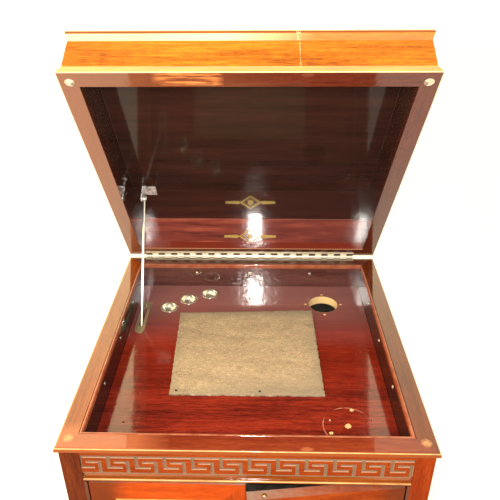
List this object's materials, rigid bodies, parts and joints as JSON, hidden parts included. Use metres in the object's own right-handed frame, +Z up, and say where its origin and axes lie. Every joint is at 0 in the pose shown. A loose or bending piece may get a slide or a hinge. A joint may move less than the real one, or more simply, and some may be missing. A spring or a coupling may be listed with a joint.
{
  "type": "cabinet gramophone",
  "caption": "Floor-standing mahogany record player cabinet with hinged lid on a stay, sunk motor board, internal horn, record bays and a pair of doors.",
  "frame": {"origin": "on the floor under the middle of the cabinet's footprint", "axes": "front faces -Y, +X to the right seen from the front, +Z up"},
  "size_m": [0.5, 0.6144, 1.4705],
  "materials": {
    "case_mahogany": "french polished",
    "rim_mahogany": "french polished",
    "well_mahogany": "french polished, dark",
    "board_mahogany": "french polished, worn",
    "frieze_mahogany": "french polished, dusty grooves",
    "door_mahogany": "french polished",
    "lid_mahogany": "french polished",
    "plain_timber": "bare timber",
    "black_stained_wood": "black stain",
    "pressed_board": "rough, soiled",
    "steel": "dull",
    "cast_elbow": "japanned",
    "nickel": "worn nickel plate",
    "brass": "aged"
  },
  "bodies": {
    "cabinet": {"post_front_left": "case_mahogany", "post_front_right": "case_mahogany", "back_posts": "case_mahogany", "rim_front": "rim_mahogany", "rim_right": "rim_mahogany", "rim_back": "rim_mahogany", "rim_left": "rim_mahogany", "well_bead": "rim_mahogany", "well_liner_front": "well_mahogany", "well_liner_sides": "well_mahogany", "well_liner_back": "well_mahogany", "round_head_screws": "nickel", "frieze_board": "frieze_mahogany", "frieze_moulding": "frieze_mahogany", "side_panel_left": "case_mahogany", "side_panel_right": "case_mahogany", "back_panel": "plain_timber", "back_top_rail": "case_mahogany", "bottom_board": "plain_timber", "front_apron": "case_mahogany", "centre_shelf": "plain_timber", "cock_beads": "case_mahogany", "sound_front_board": "black_stained_wood", "horn_body": "plain_timber", "horn_elbow": "cast_elbow", "record_dividers": "plain_timber", "motor_board": "board_mahogany", "board_bearers": "plain_timber", "blanking_sheet": "pressed_board", "sheet_nails": "steel", "needle_cup_left": "nickel", "needle_cup_middle": "nickel", "needle_cup_right": "nickel", "stay_guide_plate": "nickel", "hinge_cabinet_leaf": "nickel", "hinge_pin": "nickel", "door_hinge_fixed_leaves": "brass", "winding_escutcheon": "nickel", "glides": "steel"},
    "lid": {"lid_rim_frame": "lid_mahogany", "lid_front_board": "lid_mahogany", "lid_back_board": "lid_mahogany", "lid_side_boards": "lid_mahogany", "lid_crown_moulding": "lid_mahogany", "lid_top_panel": "lid_mahogany", "lid_bumpers": "nickel", "stay_bracket": "nickel", "hinge_lid_leaf": "nickel"},
    "stay_rod": {"stay_rod": "nickel"},
    "left_door": {"left_door_frame": "door_mahogany", "left_door_panel": "door_mahogany", "left_door_hinge_leaves": "brass", "left_door_knob": "brass"},
    "right_door": {"right_door_frame": "door_mahogany", "right_door_panel": "door_mahogany", "right_door_hinge_leaves": "brass", "right_door_knob": "brass", "right_door_catch": "brass"},
    "catch_bullet": {"catch_bullet": "brass"}
  },
  "joints": [
    {"name": "lid_hinge", "type": "hinge", "parent": "cabinet", "child": "lid", "pos_m": [0, 0.2535, 1.0033], "axis": [1, 0, 0], "range_deg": [0, 56.5]},
    {"name": "stay_rod_pivot", "type": "hinge", "parent": "lid", "child": "stay_rod", "pos_m": [-0.2015, 0.22171, 1.14535], "axis": [1, 0, 0], "range_deg": [-23, 0]},
    {"name": "left_door_hinge", "type": "hinge", "parent": "cabinet", "child": "left_door", "pos_m": [-0.214, -0.2538, 0.5], "axis": [0, 0, -1], "range_deg": [0, 110]},
    {"name": "right_door_hinge", "type": "hinge", "parent": "cabinet", "child": "right_door", "pos_m": [0.214, -0.2538, 0.5], "axis": [0, 0, 1], "range_deg": [-6.7, 103.3]},
    {"name": "catch_bullet_slide", "type": "slide", "parent": "right_door", "child": "catch_bullet", "axis": [0, 0, -1], "range_m": [0, 0.0011], "stiffness_N_per_m": 300, "springref_m": -0.002}
  ],
  "couplings": [
    {"joint": "stay_rod_pivot", "follows": "lid_hinge", "ratio": -0.40425}
  ]
}
